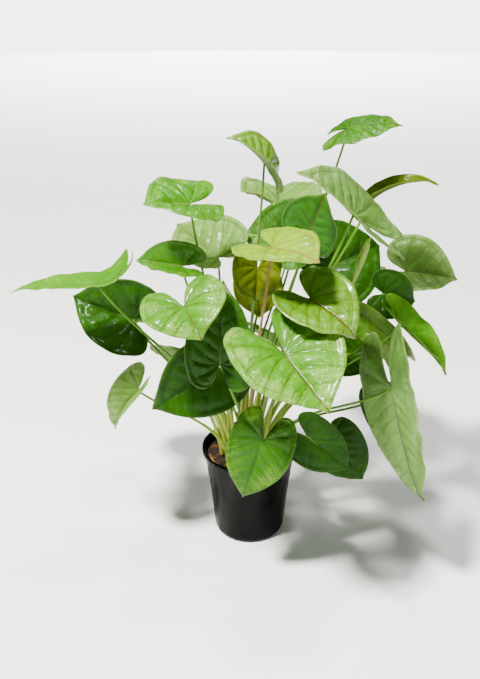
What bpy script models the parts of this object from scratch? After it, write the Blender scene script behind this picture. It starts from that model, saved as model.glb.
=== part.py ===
"""Arrowhead plant in its small black nursery pot, in metres, +Z up.

The origin is the centre of the pot's flat underside. Each leaf is one solid:
its blade, its petiole and the pale sheath at the petiole's foot, which stands
in a plain hole in the soil.
"""
import math
from collections import namedtuple
from itertools import combinations

import bmesh
import bpy
from mathutils import Matrix, Vector

MM = 0.001
GAP = 0.3 * MM

# Pot: a tapered nursery pot with a thin rolled rim and a rounded foot
POT_HEIGHT = 110 * MM
RIM_RADIUS = 55 * MM
RIM_BAND = 7 * MM
NECK_RADIUS = 51.5 * MM
STEP_HEIGHT = 74 * MM
STEP_RADIUS = 47.5 * MM
STEP_DEPTH = 0.8 * MM
FOOT_RADIUS = 41 * MM
FOOT_ROUND = 6 * MM
POT_WALL = 1.6 * MM
POT_SIDES = 32
DRAIN_COUNT = 6
DRAIN_RADIUS = 4 * MM
DRAIN_RING = 26 * MM

# Soil: fills the pot to a little below the rim
SOIL_TOP = 100 * MM

# Petioles: thick pale sheaths at the soil, thin under the blade
FOOT_DEPTH = 14 * MM
SHEATH_RADIUS = 3.0 * MM
PETIOLE_RADIUS = 1.5 * MM
NECK_OF_BLADE = 1.2 * MM
NECK_REACH = 0.5 * MM
SHEATH_SHARE = 0.5
FOOT_SPACING = 5.1 * MM
GOLDEN_ANGLE = math.radians(137.5)
WIDEST_LEAN = math.radians(60)
PETIOLE_STEPS = 4
HOLE_SIDES = 6
HOLE_RADIUS = (SHEATH_RADIUS + GAP) / math.cos(math.pi / HOLE_SIDES) + 0.05 * MM

# Blades: the grid of each one, in steps round its edge and out from its petiole
BLADE_THICKNESS = 0.8 * MM
EDGE_STEPS = 16
RING_STEPS = 3

# Hub: the small five-cornered middle of a blade, which the petiole runs into,
# left open on the side between the lobes
HUB_RADIUS = 2.6 * MM
HUB_CORNERS = 5
HUB_TURN = math.radians(155)

# Surface roots, thin and tan, lying on the soil
ROOT_RADIUS = 1.1 * MM

BLACK_PLASTIC = (0.012, 0.011, 0.011)
POTTING_SOIL = (0.045, 0.022, 0.012)
ROOT_TAN = (0.55, 0.26, 0.07)
TONES = {
    "light": (0.22, 0.45, 0.06),
    "mid": (0.09, 0.27, 0.025),
    "dark": (0.03, 0.11, 0.01),
    "grey": (0.17, 0.33, 0.11),
    "yellow": (0.42, 0.55, 0.06),
}

# A leaf in millimetres and degrees: where its petiole meets the blade, its tip,
# the way its upper face looks, half its width, how far its lobes reach back,
# how far the left and right halves fold up from the midrib, how much the margins
# curl up, how far the tip arches down and how far the lobes droop
Leaf = namedtuple("Leaf", "junction tip faces half_width lobe fold curl arch droop tone bow",
                  defaults=((0, 0, 0),))

LEAVES = {
    "leaf_top_right": Leaf((94, 0, 472), (145, -12, 477), (-0.3, -0.25, 0.95), 31, 28, (-5, 5), -10, 25, 30, "mid"),
    "leaf_high_right": Leaf((95, -60, 403), (43, -70, 450), (0.5, -0.3, 0.8), 38, 62, (25, 20), -5, 10, -15, "grey"),
    "leaf_top_left": Leaf((13, 0, 438), (-24, 0, 465), (0.45, -0.35, 0.8), 33, 26, (35, 5), 0, 35, 30, "yellow"),
    "leaf_back_top": Leaf((33, 88, 370), (34, 150, 378), (0, -0.2, 1), 50, 44, (35, 25), -15, 10, -65, "grey"),
    "leaf_back_stripe": Leaf((50, 42, 345), (-9, 60, 346), (-0.3, -0.8, 0.65), 44, 20, (20, 15), 10, 10, 0, "grey"),
    "leaf_glossy_dark": Leaf((57, -20, 373), (69, -45, 420), (-0.3, -0.9, 0.35), 32, 18, (5, 10), 0, -10, 10, "dark"),
    "leaf_yellow_centre": Leaf((19, -70, 375), (60, -115, 378), (-0.15, -0.25, 1), 39, 30, (0, 15), 0, 10, -20, "yellow"),
    "leaf_olive_under": Leaf((7, -31, 340), (4, -35, 304), (-0.1, -1, 0.05), 30, 17, (30, 30), 10, 40, 0, "yellow"),
    "leaf_left_high": Leaf((-60, -30, 405), (-102, -57, 413), (0.45, -0.5, 0.7), 44, 32, (45, -15), -15, 10, -35, "light"),
    "leaf_back_left": Leaf((-35, 40, 326), (-83, 90, 350), (0, -0.4, 0.9), 46, 22, (20, 30), 10, -10, 0, "grey"),
    "leaf_left_mid": Leaf((-69, -40, 345), (-115, -35, 350), (-0.3, -0.6, 0.75), 25, 24, (35, 30), 15, 10, -10, "mid"),
    "leaf_far_left": Leaf((-151, -52, 330), (-234, -68, 332), (0, 0.3, 1), 25, 54, (0, 30), 0, 0, -85, "light"),
    "leaf_left_round": Leaf((-126, 0, 269), (-192, 10, 293), (-0.3, -0.9, 0.3), 45, 20, (35, 10), 10, 15, 20, "dark"),
    "leaf_left_front": Leaf((-63, -100, 327), (-46, -132, 309), (-0.3, -0.6, 0.7), 42, 26, (5, 35), -15, 10, 20, "light", (-30, 20, 20)),
    "leaf_centre_dark": Leaf((-30, -100, 267), (-28, -75, 345), (-0.3, -0.9, 0.4), 36, 26, (5, 10), 0, 10, -5, "dark", (10, -20, 0)),
    "leaf_left_low": Leaf((-34, -58, 241), (-102, -80, 203), (-0.2, -0.95, 0.3), 43, 25, (-10, 25), 10, 10, 0, "dark"),
    "leaf_left_small": Leaf((-120, -40, 205), (-150, -40, 155), (-0.75, -0.6, 0.3), 26, 28, (35, 25), 10, 30, -20, "light"),
    "leaf_front_large": Leaf((30, -130, 292), (68, -184, 262), (0.2, -0.4, 0.85), 54, 48, (35, 15), -20, 0, 20, "light"),
    "leaf_front_low": Leaf((12, -95, 176), (-9, -110, 116), (-0.1, -0.95, 0.3), 34, 32, (5, 5), 0, 15, 0, "mid"),
    "leaf_right_low": Leaf((61, -50, 154), (110, -52, 110), (-0.1, -0.95, 0.3), 30, 24, (10, 5), 10, 15, -10, "dark"),
    "leaf_right_low_behind": Leaf((93, -22, 133), (131, -28, 79), (-0.1, -0.95, 0.3), 32, 20, (10, 5), 0, 15, -10, "dark"),
    "leaf_right_hanging": Leaf((140, -85, 231), (175, -120, 114), (-0.6, -0.75, 0.1), 40, 62, (30, -10), 0, 15, 30, "grey"),
    "leaf_right_light": Leaf((159, -20, 271), (209, -45, 228), (0.4, -0.45, 0.8), 32, 34, (5, 45), 0, 0, -10, "light"),
    "leaf_right_round": Leaf((144, 18, 292), (182, 22, 281), (0.1, -0.9, 0.4), 28, 15, (20, 20), -10, 30, 10, "dark"),
    "leaf_right_back": Leaf((178, 74, 297), (235, 57, 294), (-0.1, -0.7, 0.7), 43, 25, (15, 30), 10, 20, -10, "grey"),
    "leaf_dark_back": Leaf((90, 60, 306), (150, 84, 326), (-0.05, -0.8, 0.6), 52, 32, (20, 10), -10, 20, 20, "dark"),
    "leaf_right_centre": Leaf((55, -90, 331), (97, -122, 306), (0.1, -0.5, 0.85), 40, 28, (5, 10), 10, 25, -15, "yellow"),
    "leaf_right_narrow": Leaf((121, 0, 401), (183, -20, 424), (-0.3, -0.2, 0.9), 13, 12, (40, 40), 0, 55, 0, "grey"),
    "leaf_right_behind": Leaf((146, -5, 175), (178, -12, 96), (-0.3, -0.9, 0.2), 24, 20, (10, 10), 0, 10, 0, "dark"),
    "leaf_inner_light": Leaf((97, -28, 262), (125, -34, 262), (0, -0.6, 0.8), 24, 18, (10, 10), 0, 10, 0, "light"),
    "leaf_inner_dark": Leaf((110, 20, 218), (130, 8, 199), (0, -0.8, 0.5), 28, 18, (15, 15), 0, 10, 0, "dark"),
    "leaf_right_yellow": Leaf((119, -2, 275), (185, -6, 221), (0.35, -0.85, 0.4), 14, 14, (10, 15), 0, 20, 0, "yellow"),
    "leaf_olive_low": Leaf((8, 28, 298), (10, 10, 266), (0, -0.8, 0.5), 28, 16, (15, 15), 0, 20, 0, "yellow"),
    "leaf_rear_low_left": Leaf((-75, 70, 195), (-75, 125, 140), (0, 0.6, 0.8), 45, 30, (10, 15), 0, 20, 10, "mid"),
    "leaf_rear_middle": Leaf((35, 95, 205), (55, 150, 150), (0.2, 0.6, 0.7), 50, 30, (15, 10), 0, 20, 10, "light"),
    "leaf_rear_right": Leaf((115, 115, 285), (140, 175, 245), (0.3, 0.5, 0.8), 46, 32, (10, 15), 0, 20, 0, "mid", (0, -20, 0)),
    "leaf_rear_high": Leaf((50, 125, 310), (50, 185, 280), (0, 0.4, 0.9), 42, 30, (15, 15), 0, 20, 0, "light"),
    "leaf_rear_left": Leaf((-135, 65, 235), (-175, 120, 195), (-0.4, 0.4, 0.8), 44, 26, (15, 10), 0, 20, 10, "dark"),
    "leaf_rear_right_low": Leaf((147, 75, 205), (183, 122, 150), (0.5, 0.5, 0.7), 30, 22, (10, 10), 0, 20, 0, "grey"),
}

# A young leaf still rolled round itself, on its own petiole: its two ends in millimetres
ROLLED_LOW = (101, -40, 322)
ROLLED_TIP = (114, -50, 380)
ROLLED_RADIUS = 4 * MM

# Roots across the soil, each from beside the crown to the pot's wall: points on the soil
ROOTS = {
    "surface_root_long": ((-8, -44), (-20, -41), (-33, -33), (-42, -20), (-46, -6)),
    "surface_root_short": ((30, -37), (39, -27), (45, -14), (47, -2)),
}


def outline(length, half_width, lobe, steps):
    """Half of a heart-shaped blade's edge, from its tip round a lobe to the petiole, flat."""
    curves = (
        ((length, 0), (0.84 * length, 0.13 * half_width), (0.67 * length, 0.98 * half_width),
         (0.1 * length, half_width)),
        ((0.1 * length, half_width), (-0.5 * lobe, half_width), (-lobe, 0.82 * half_width),
         (-lobe, 0.48 * half_width)),
        ((-lobe, 0.48 * half_width), (-lobe, 0.2 * half_width), (-0.35 * lobe, 0.1 * half_width),
         (HUB_RADIUS * math.cos(HUB_TURN), HUB_RADIUS * math.sin(HUB_TURN))),
    )
    shares = (0.45, 0.8, 1.0)
    points = []
    for index in range(steps + 1):
        share = index / steps
        piece = next(i for i, end in enumerate(shares) if share <= end + 1e-9)
        start = shares[piece - 1] if piece else 0.0
        t = (share - start) / (shares[piece] - start)
        points.append(bezier([Vector(p) for p in curves[piece]], t))
    return points


def bezier(controls, t):
    a, b, c, d = controls
    return a * (1 - t) ** 3 + b * 3 * t * (1 - t) ** 2 + c * 3 * t * t * (1 - t) + d * t ** 3


def formed(flat, length, leaf):
    """A flat point of the blade, folded along the midrib, curled and arched."""
    along, across = flat
    half = abs(across)
    side = 1 if across >= 0 else -1
    fold = leaf.fold[0] if side > 0 else leaf.fold[1]
    slope = math.radians(fold + leaf.curl * half / (2 * leaf.half_width * MM))
    spread = half * math.cos(slope)
    rise = half * math.sin(slope)
    bend = math.radians(leaf.arch) / length if along >= 0 else math.radians(leaf.droop) / (leaf.lobe * MM)
    bend = bend if abs(bend) > 1e-6 else 1e-6
    way = 1 if along >= 0 else -1
    turn = bend * abs(along)
    x = way * (math.sin(turn) / bend + rise * math.sin(turn))
    z = rise * math.cos(turn) - (1 - math.cos(turn)) / bend
    return Vector((x, side * spread, z))


def blade_length(leaf):
    """The midrib's length, which its arch makes longer than the straight way to the tip."""
    chord = (Vector(leaf.tip) - Vector(leaf.junction)).length * MM
    half_arch = math.radians(leaf.arch) / 2
    return chord * half_arch / math.sin(half_arch) if abs(half_arch) > 1e-4 else chord


def blade_frame(leaf):
    """The matrix that stands a formed blade at its junction, pointing at its tip."""
    half_arch = math.radians(leaf.arch) / 2
    flat_axis = Vector((math.cos(half_arch), 0, -math.sin(half_arch)))
    flat_up = Vector((math.sin(half_arch), 0, math.cos(half_arch)))
    flat = Matrix((flat_axis, flat_up.cross(flat_axis), flat_up)).transposed()
    axis = (Vector(leaf.tip) - Vector(leaf.junction)).normalized()
    up = Vector(leaf.faces)
    up = (up - axis * up.dot(axis)).normalized()
    real = Matrix((axis, up.cross(axis), up)).transposed()
    turned = (real @ flat.transposed()).to_4x4()
    return Matrix.Translation(Vector(leaf.junction) * MM) @ turned


def hub_point(place):
    """The hub's corner that a place on the edge is joined to, flat."""
    corner = round(place / EDGE_STEPS * (HUB_CORNERS - 1))
    angle = HUB_TURN * (2 * corner / (HUB_CORNERS - 1) - 1)
    return Vector((math.cos(angle), math.sin(angle))) * HUB_RADIUS


def blade_mesh(name, leaf):
    """A thin blade: a grid wrapped round its hub, which is filled."""
    length = blade_length(leaf)
    half = outline(length, leaf.half_width * MM, leaf.lobe * MM, EDGE_STEPS // 2)
    edge = [Vector((p.x, -p.y)) for p in reversed(half)] + half[1:]
    frame = blade_frame(leaf)
    bm = bmesh.new()
    bmesh.ops.create_grid(bm, x_segments=EDGE_STEPS, y_segments=RING_STEPS, size=1)
    for vert in bm.verts:
        place = round((vert.co.x + 1) / 2 * EDGE_STEPS)
        reach = (vert.co.y + 1) / 2
        flat = hub_point(place).lerp(edge[place], reach)
        vert.co = frame @ formed(flat, length, leaf)
    bmesh.ops.remove_doubles(bm, verts=bm.verts, dist=0.01 * MM)
    middle = frame @ Vector((0, 0, 0))
    hub = [vert for vert in bm.verts if (vert.co - middle).length < HUB_RADIUS + 0.01 * MM]
    bmesh.ops.contextual_create(bm, geom=hub)
    bmesh.ops.recalc_face_normals(bm, faces=bm.faces)
    bmesh.ops.triangulate(bm, faces=bm.faces)
    mesh = bpy.data.meshes.new(name)
    bm.to_mesh(mesh)
    bm.free()
    return mesh


def foot_spots():
    """Where petioles may stand in the soil: a spiral of evenly spaced spots."""
    spots = []
    for index in range(len(LEAVES) + 1):
        radius = FOOT_SPACING * math.sqrt(index + 0.5)
        angle = GOLDEN_ANGLE * index
        spots.append(Vector((radius * math.cos(angle), radius * math.sin(angle), SOIL_TOP)))
    return spots


def lean_of(junction):
    """How far out a petiole leans, from 0 for upright to 1, and the way it leans."""
    reach = Vector(junction) * MM - Vector((0, 0, SOIL_TOP))
    lean = math.atan2(math.hypot(reach.x, reach.y), reach.z) / WIDEST_LEAN
    return min(lean, 1), Vector((reach.x, reach.y, 0)).normalized()


def feet():
    """Each petiole's spot: they are swapped until no swap brings two nearer to their lean."""
    ends = {name: leaf.junction for name, leaf in LEAVES.items()}
    ends["rolled_leaf"] = ROLLED_LOW
    spots = foot_spots()
    outer = FOOT_SPACING * math.sqrt(len(spots))
    wanted = []
    for end in ends.values():
        lean, way = lean_of(end)
        wanted.append(way * outer * lean + Vector((0, 0, SOIL_TOP)))
    better = True
    while better:
        better = False
        for a, b in combinations(range(len(spots)), 2):
            kept = (spots[a] - wanted[a]).length_squared + (spots[b] - wanted[b]).length_squared
            swapped = (spots[b] - wanted[a]).length_squared + (spots[a] - wanted[b]).length_squared
            if swapped < kept - 1e-9:
                spots[a], spots[b] = spots[b], spots[a]
                better = True
    return dict(zip(ends, spots))


def petiole_points(end, foot, bow=(0, 0, 0)):
    """The petiole's middle line from its foot to its end, with its radius at each point."""
    junction = Vector(end) * MM
    reach = junction - foot
    bow = Vector(bow) * MM
    controls = (foot, foot + Vector((0, 0, 0.35 * reach.length)) + reach * 0.1 + bow,
                junction - reach * 0.35 + bow, junction + reach.normalized() * NECK_REACH)
    points = [(foot - Vector((0, 0, FOOT_DEPTH)), SHEATH_RADIUS)]
    for step in range(PETIOLE_STEPS + 1):
        t = step / PETIOLE_STEPS
        sheath = max(0.0, 1 - t / SHEATH_SHARE) ** 1.5
        thin = PETIOLE_RADIUS + (NECK_OF_BLADE - PETIOLE_RADIUS) * t
        points.append((bezier(controls, t), thin + (SHEATH_RADIUS - thin) * sheath))
    return points


def tube(name, points, resolution=1):
    """A tapered tube with filled ends along the points, as a mesh."""
    curve = bpy.data.curves.new(name, "CURVE")
    curve.dimensions = "3D"
    curve.bevel_depth = 1.0
    curve.bevel_resolution = resolution
    curve.use_fill_caps = True
    spline = curve.splines.new("POLY")
    spline.points.add(len(points) - 1)
    for target, (place, radius) in zip(spline.points, points):
        target.co = (*place, 1)
        target.radius = radius
    holder = bpy.data.objects.new(name, curve)
    bpy.context.scene.collection.objects.link(holder)
    depsgraph = bpy.context.evaluated_depsgraph_get()
    mesh = bpy.data.meshes.new_from_object(holder.evaluated_get(depsgraph))
    bpy.data.objects.remove(holder)
    bpy.data.curves.remove(curve)
    return mesh


def closed(mesh):
    """The same mesh with its seams merged and its faces pointing out."""
    bm = bmesh.new()
    bm.from_mesh(mesh)
    bmesh.ops.remove_doubles(bm, verts=bm.verts, dist=0.01 * MM)
    bmesh.ops.recalc_face_normals(bm, faces=bm.faces)
    bm.to_mesh(mesh)
    bm.free()
    return mesh


def add_object(name, mesh, material):
    shape = bpy.data.objects.new(name, mesh)
    mesh.materials.clear()
    mesh.materials.append(material)
    bpy.context.scene.collection.objects.link(shape)
    return shape


def apply_modifiers(shape):
    """The shape as its modifiers leave it, kept as its own mesh."""
    depsgraph = bpy.context.evaluated_depsgraph_get()
    mesh = bpy.data.meshes.new_from_object(shape.evaluated_get(depsgraph))
    shape.modifiers.clear()
    shape.data = mesh


def boolean(shape, tools, operation, solver="EXACT"):
    """The shape joined with or cut by the tools, which are removed."""
    group = bpy.data.collections.new("tools")
    bpy.context.scene.collection.children.link(group)
    for tool in tools:
        group.objects.link(tool)
    cut = shape.modifiers.new("boolean", "BOOLEAN")
    cut.operation = operation
    cut.operand_type = "COLLECTION"
    cut.collection = group
    cut.solver = solver
    apply_modifiers(shape)
    for tool in tools:
        bpy.data.objects.remove(tool)
    bpy.data.collections.remove(group)


def keep_largest_body(shape):
    """The shape without the loose scraps that a union may leave."""
    bm = bmesh.new()
    bm.from_mesh(shape.data)
    left = set(bm.verts)
    bodies = []
    while left:
        body = {left.pop()}
        front = list(body)
        while front:
            near = {e.other_vert(v) for v in front for e in v.link_edges} - body
            body |= near
            front = list(near)
        left -= body
        bodies.append(body)
    bodies.sort(key=len)
    for scrap in bodies[:-1]:
        bmesh.ops.delete(bm, geom=list(scrap), context="VERTS")
    bm.to_mesh(shape.data)
    bm.free()


def material(name, colour, roughness):
    surface = bpy.data.materials.new(name)
    surface.use_nodes = True
    shader = surface.node_tree.nodes["Principled BSDF"]
    shader.inputs["Base Color"].default_value = (*colour, 1)
    shader.inputs["Roughness"].default_value = roughness
    shader.inputs["Metallic"].default_value = 0.0
    return surface


def turned(name, profile, sides):
    """A solid turned about Z from its profile of (radius, height), which starts and ends on it."""
    bm = bmesh.new()
    verts = [bm.verts.new((radius, 0, height)) for radius, height in profile]
    edges = [bm.edges.new(pair) for pair in zip(verts, verts[1:])]
    bmesh.ops.spin(bm, geom=verts + edges, cent=(0, 0, 0), axis=(0, 0, 1),
                   angle=2 * math.pi, steps=sides, use_merge=True)
    bmesh.ops.remove_doubles(bm, verts=bm.verts, dist=0.01 * MM)
    bmesh.ops.recalc_face_normals(bm, faces=bm.faces)
    mesh = bpy.data.meshes.new(name)
    bm.to_mesh(mesh)
    bm.free()
    return mesh


def wall_radius(height):
    """The pot's outer radius at a height: it tapers, with a small step part way up."""
    if height >= STEP_HEIGHT:
        share = (height - STEP_HEIGHT) / (POT_HEIGHT - RIM_BAND - STEP_HEIGHT)
        return STEP_RADIUS + STEP_DEPTH + (NECK_RADIUS - STEP_RADIUS - STEP_DEPTH) * min(share, 1)
    share = (height - FOOT_ROUND) / (STEP_HEIGHT - FOOT_ROUND)
    return FOOT_RADIUS + (STEP_RADIUS - FOOT_RADIUS) * max(share, 0)


def build_pot():
    foot = [(FOOT_RADIUS - FOOT_ROUND * (1 - math.sin(a)), FOOT_ROUND * (1 - math.cos(a)))
            for a in (math.radians(d) for d in (0, 30, 60, 90))]
    outside = foot + [
        (STEP_RADIUS, STEP_HEIGHT - 2 * MM),
        (wall_radius(STEP_HEIGHT), STEP_HEIGHT),
        (NECK_RADIUS, POT_HEIGHT - RIM_BAND),
        (RIM_RADIUS - 1 * MM, POT_HEIGHT - RIM_BAND + 1 * MM),
        (RIM_RADIUS, POT_HEIGHT - 1.5 * MM),
        (RIM_RADIUS - 1 * MM, POT_HEIGHT),
    ]
    inside = [
        (RIM_RADIUS - 3 * MM, POT_HEIGHT),
        (NECK_RADIUS - POT_WALL, POT_HEIGHT - RIM_BAND),
        (wall_radius(STEP_HEIGHT) - POT_WALL, STEP_HEIGHT),
        (FOOT_RADIUS - POT_WALL, FOOT_ROUND),
        (FOOT_RADIUS - FOOT_ROUND, POT_WALL),
    ]
    mesh = turned("pot", [(0, 0)] + outside + inside + [(0, POT_WALL)], POT_SIDES)
    pot = add_object("pot", mesh, material("pot_black_plastic", BLACK_PLASTIC, 0.35))
    drains = []
    for index in range(DRAIN_COUNT):
        angle = 2 * math.pi * index / DRAIN_COUNT
        place = (DRAIN_RING * math.cos(angle), DRAIN_RING * math.sin(angle), 0)
        drains.append(peg("drain", place, DRAIN_RADIUS, -2 * POT_WALL, 2 * POT_WALL, 8))
    boolean(pot, drains, "DIFFERENCE")
    shade_round(pot)


def peg(name, place, radius, low, high, sides):
    """An upright cylinder from low to high, used as a cutter."""
    bm = bmesh.new()
    bmesh.ops.create_cone(bm, cap_ends=True, segments=sides, radius1=radius, radius2=radius,
                          depth=high - low)
    bmesh.ops.translate(bm, verts=bm.verts, vec=(place[0], place[1], (high + low) / 2))
    mesh = bpy.data.meshes.new(name)
    bm.to_mesh(mesh)
    bm.free()
    shape = bpy.data.objects.new(name, mesh)
    shape.hide_render = True
    shape.display_type = "WIRE"
    return shape


def shade_round(shape):
    shape.data.shade_smooth()
    shape.data.set_sharp_from_angle(angle=math.radians(40))


def build_soil(spots):
    """The potting mix, a gap inside the pot's wall, with a hole for each petiole."""
    clear = POT_WALL + GAP
    profile = [
        (0, POT_WALL + GAP),
        (FOOT_RADIUS - FOOT_ROUND - GAP, POT_WALL + GAP),
        (FOOT_RADIUS - clear - 0.3 * MM, FOOT_ROUND + GAP),
        (wall_radius(STEP_HEIGHT) - clear - 0.3 * MM, STEP_HEIGHT),
        (wall_radius(SOIL_TOP) - clear - 0.3 * MM, SOIL_TOP - 1 * MM),
        (wall_radius(SOIL_TOP) - clear - 6 * MM, SOIL_TOP),
        (0, SOIL_TOP),
    ]
    mesh = turned("soil", profile, POT_SIDES)
    soil = add_object("soil", mesh, material("potting_soil", POTTING_SOIL, 0.95))
    pegs = [peg("hole", spot, HOLE_RADIUS, SOIL_TOP - FOOT_DEPTH - GAP, SOIL_TOP + 5 * MM, HOLE_SIDES)
            for spot in spots]
    boolean(soil, pegs, "DIFFERENCE")
    shade_round(soil)


def build_leaf(name, leaf, foot):
    """One leaf: its blade and its petiole as a single solid."""
    surface = material(name + "_green", TONES[leaf.tone], 0.35)
    shape = add_object(name, blade_mesh(name, leaf), surface)
    thick = shape.modifiers.new("thickness", "SOLIDIFY")
    thick.thickness = BLADE_THICKNESS
    thick.offset = 0
    apply_modifiers(shape)
    petiole = closed(tube(name + "_petiole", petiole_points(leaf.junction, foot, leaf.bow)))
    boolean(shape, [bpy.data.objects.new(name + "_petiole", petiole)], "UNION", "MANIFOLD")
    keep_largest_body(shape)
    shade_round(shape)


def build_rolled_leaf(foot):
    """The rolled young leaf: a slim spindle that opens a little at its top, on its petiole."""
    low = Vector(ROLLED_LOW) * MM
    tip = Vector(ROLLED_TIP) * MM
    points = petiole_points(ROLLED_LOW, foot)
    for share, width in ((0.15, 0.6), (0.4, 0.85), (0.7, 1.0), (0.92, 0.9), (1.0, 0.55)):
        points.append((low.lerp(tip, share), ROLLED_RADIUS * width))
    mesh = closed(tube("rolled_leaf", points))
    rolled = add_object("rolled_leaf", mesh, material("rolled_leaf_green", TONES["grey"], 0.4))
    shade_round(rolled)


def build_root(name, spots):
    """A root lying on the soil, a gap above it."""
    height = SOIL_TOP + ROOT_RADIUS + GAP
    corners = [Vector((x * MM, y * MM, height)) for x, y in spots]
    points = []
    for index, place in enumerate(corners):
        taper = 1 - 0.5 * index / (len(corners) - 1)
        points.append((place, ROOT_RADIUS * taper))
    root = add_object(name, closed(tube(name, points)), material(name + "_tan", ROOT_TAN, 0.7))
    shade_round(root)


def main():
    for old in list(bpy.data.objects):
        bpy.data.objects.remove(old)
    places = feet()
    build_pot()
    build_soil(places.values())
    for name, leaf in LEAVES.items():
        build_leaf(name, leaf, places[name])
    build_rolled_leaf(places["rolled_leaf"])
    for name, spots in ROOTS.items():
        build_root(name, spots)


main()
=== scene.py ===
"""Arrowhead plant in a black nursery pot: its looks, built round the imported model.

Each leaf is rebuilt finer than in the model, with quilted panels between its
veins, a raised midrib below and a tapered petiole that widens into a pale
sheath. The pot, soil dressing, surface roots and rolled leaf follow, then the
floor, lights and camera. Sizes are in metres unless a name says otherwise.
"""
import math
import random
from collections import namedtuple
from functools import partial
from itertools import combinations

import bmesh
import bpy
from bpy.props import FloatProperty, FloatVectorProperty, IntProperty, PointerProperty
from mathutils import Matrix, Vector, noise


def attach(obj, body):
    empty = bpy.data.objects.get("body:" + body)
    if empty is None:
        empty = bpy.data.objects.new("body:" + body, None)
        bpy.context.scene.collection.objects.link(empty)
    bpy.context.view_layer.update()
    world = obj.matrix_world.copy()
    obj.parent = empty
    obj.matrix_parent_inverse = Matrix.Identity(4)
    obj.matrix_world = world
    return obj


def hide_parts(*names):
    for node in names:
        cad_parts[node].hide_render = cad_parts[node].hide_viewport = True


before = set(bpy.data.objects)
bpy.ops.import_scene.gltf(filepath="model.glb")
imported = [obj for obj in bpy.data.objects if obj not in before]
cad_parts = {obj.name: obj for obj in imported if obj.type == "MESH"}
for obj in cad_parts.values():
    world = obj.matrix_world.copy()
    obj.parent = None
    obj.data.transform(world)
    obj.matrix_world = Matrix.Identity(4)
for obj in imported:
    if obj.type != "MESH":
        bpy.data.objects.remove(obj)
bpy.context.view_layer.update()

bl_info = {
    "name": "Arrowhead plant in a nursery pot",
    "version": (1, 0, 0),
    "blender": (4, 5, 0),
    "location": "View3D > Sidebar > Arrowhead plant",
    "description": "Builds the leaves, pot, soil and roots of a potted arrowhead plant",
    "category": "Add Mesh",
}

BODY = "root"
MM = 0.001
GAP = 0.3 * MM
MERGE = 0.01 * MM

# Pot and soil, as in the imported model
POT_HEIGHT = 110 * MM
RIM_RADIUS = 55 * MM
RIM_BAND = 7 * MM
NECK_RADIUS = 51.5 * MM
STEP_HEIGHT = 74 * MM
STEP_RADIUS = 47.5 * MM
STEP_DEPTH = 0.8 * MM
FOOT_RADIUS = 41 * MM
FOOT_ROUND = 6 * MM
POT_WALL = 1.6 * MM
DRAIN_COUNT = 6
DRAIN_RADIUS = 4 * MM
DRAIN_RING = 26 * MM
SOIL_TOP = 100 * MM

# Petioles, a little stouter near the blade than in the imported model
FOOT_DEPTH = 14 * MM
SHEATH_RADIUS = 3.0 * MM
PETIOLE_RADIUS = 1.8 * MM
NECK_OF_BLADE = 1.2 * MM
SHEATH_SHARE = 0.5
FOOT_SPACING = 5.1 * MM
GOLDEN_ANGLE = math.radians(137.5)
WIDEST_LEAN = math.radians(60)

# Veins of a blade, measured in half widths of the blade: laterals leave the
# midrib at a lean, bend towards the tip, and fan out into the two lobes
VEIN_LEAN = 0.45
VEIN_BEND = 0.3
VEIN_SPACING = 0.36
FAN_START = math.atan2(1, VEIN_LEAN)
FAN_SPACING = math.radians(32)
# The vein that runs along inside the margin, and joins the laterals, as a share
# of the way from the petiole to the edge
MARGIN_VEIN = 0.87
# How far the drawn laterals waver, as a share of the way from one to the next
VEIN_WAVER = 0.12
# How wide half a blade is whose margin waves and panels stand as far as the sizes say, in mm
USUAL_HALF_WIDTH = 45

# A leaf in millimetres and degrees: where its petiole meets the blade, its tip,
# the way its upper face looks, half its width, how far its lobes reach back,
# how far the left and right halves fold up from the midrib, how much the margins
# curl up, how far the tip arches down, how far the lobes droop, the tone of its
# slot, its look, and how far its petiole bows aside
Leaf = namedtuple("Leaf", "junction tip faces half_width lobe fold curl arch droop tone look bow",
                  defaults=((0, 0, 0),))

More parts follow.
